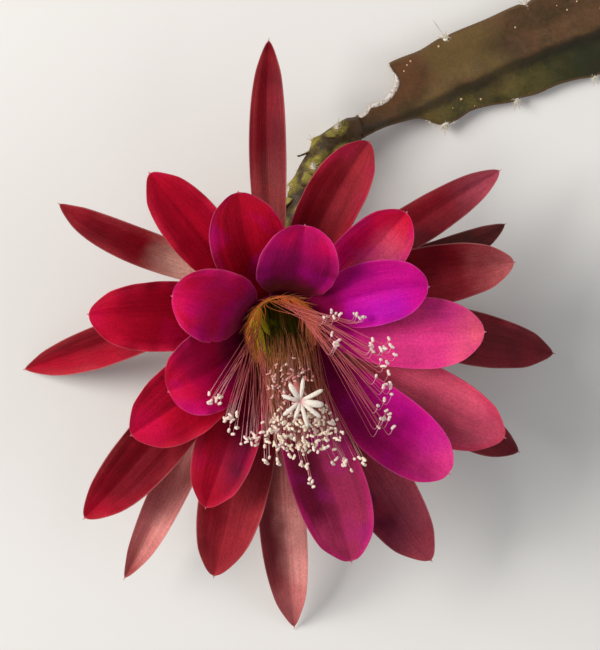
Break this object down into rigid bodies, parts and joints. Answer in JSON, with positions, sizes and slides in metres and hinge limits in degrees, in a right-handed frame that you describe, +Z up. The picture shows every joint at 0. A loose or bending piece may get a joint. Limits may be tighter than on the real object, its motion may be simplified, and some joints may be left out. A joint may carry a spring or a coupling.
{
  "type": "orchid cactus bloom on a cut stem",
  "caption": "Open orchid cactus flower with layered red and magenta tepals, stamens and a star stigma, on a scaly tube and a cut flat stem, lying face up.",
  "frame": {"origin": "middle of the underside of the box round the whole part, on the surface it rests on", "axes": "+Z up, the way the bloom faces; the stem leaves the bloom towards +X and +Y"},
  "size_m": [0.1866, 0.2022, 0.0818],
  "materials": {
    "inner_tepals": "satin, magenta to purple, crimson at the tips",
    "middle_tepals": "satin crimson",
    "outer_tepals": "satin coral red with tan feet",
    "stamens": "pinkish white filaments and matte cream anthers",
    "style": "waxy cream white",
    "tube": "waxy olive green with brown scale tips and white wool",
    "stem": "waxy bronze and olive green"
  },
  "bodies": {
    "root": {"stem": "stem", "floral_tube": "tube", "stamens": "stamens", "style": "style", "inner_tepal_1": "inner_tepals", "inner_tepal_2": "inner_tepals", "inner_tepal_3": "inner_tepals", "inner_tepal_4": "inner_tepals", "inner_tepal_5": "inner_tepals", "inner_tepal_6": "inner_tepals", "inner_tepal_7": "inner_tepals", "inner_tepal_8": "inner_tepals", "inner_tepal_9": "inner_tepals", "middle_tepal_1": "middle_tepals", "middle_tepal_2": "middle_tepals", "middle_tepal_3": "middle_tepals", "middle_tepal_4": "middle_tepals", "middle_tepal_5": "middle_tepals", "middle_tepal_6": "middle_tepals", "outer_tepal_1": "outer_tepals", "outer_tepal_2": "outer_tepals", "outer_tepal_3": "outer_tepals", "outer_tepal_4": "outer_tepals", "outer_tepal_5": "outer_tepals", "outer_tepal_6": "outer_tepals", "outer_tepal_7": "outer_tepals", "outer_tepal_8": "outer_tepals", "outer_tepal_9": "outer_tepals", "outer_tepal_10": "outer_tepals", "outer_tepal_11": "outer_tepals", "outer_tepal_12": "outer_tepals", "outer_tepal_13": "outer_tepals"}
  },
  "joints": []
}
